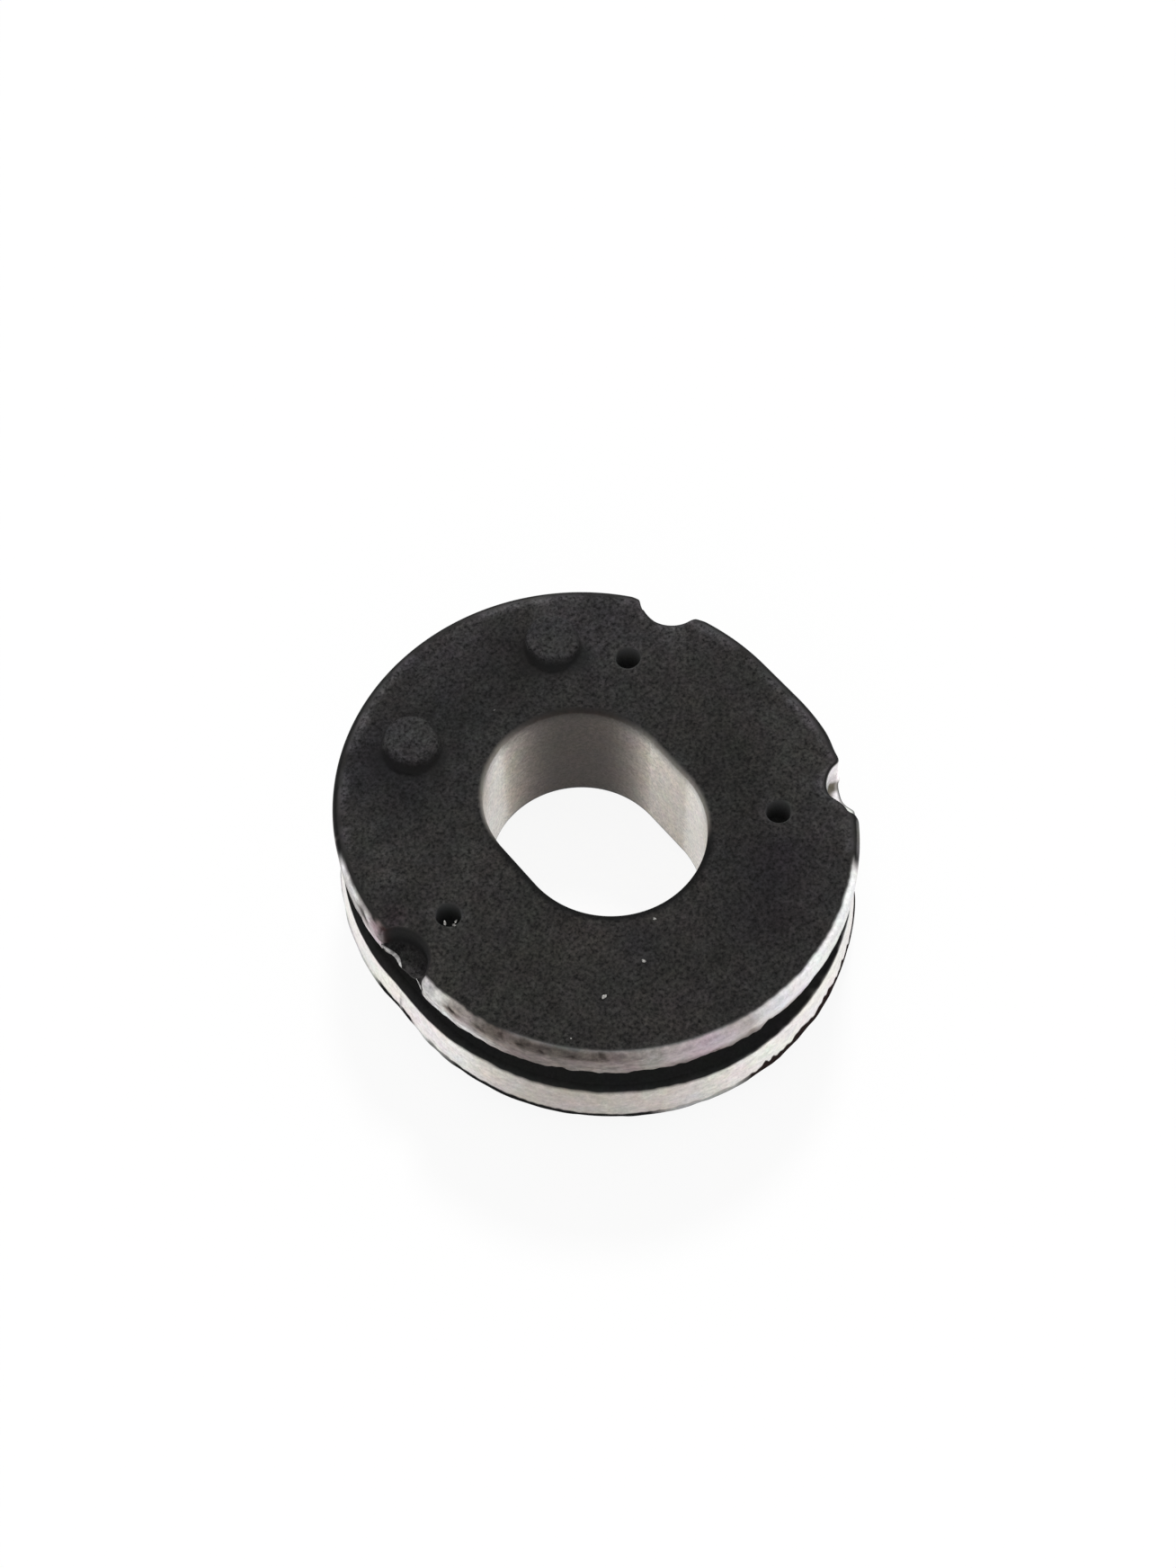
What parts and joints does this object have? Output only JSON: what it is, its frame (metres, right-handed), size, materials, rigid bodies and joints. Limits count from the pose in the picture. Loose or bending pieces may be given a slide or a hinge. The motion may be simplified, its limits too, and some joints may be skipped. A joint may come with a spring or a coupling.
{
  "type": "rubber ring",
  "caption": "Oval moulded rubber ring with a flat-sided through bore, a groove round its side, edge notches, blind pits and low round bosses.",
  "frame": {"origin": "centre of the ring's plain face, on the surface that it lies on", "axes": "+Z through the ring, from the plain face to the notched face; +Y along the ring's length, towards the two bosses; +X across its straight sides, towards the side with two notches"},
  "size_m": [0.03, 0.0332, 0.0103],
  "materials": {
    "rubber": "matt black rubber on the top, with a pale grey bloom on the outer walls"
  },
  "bodies": {
    "root": {"ring": "rubber"}
  },
  "joints": []
}
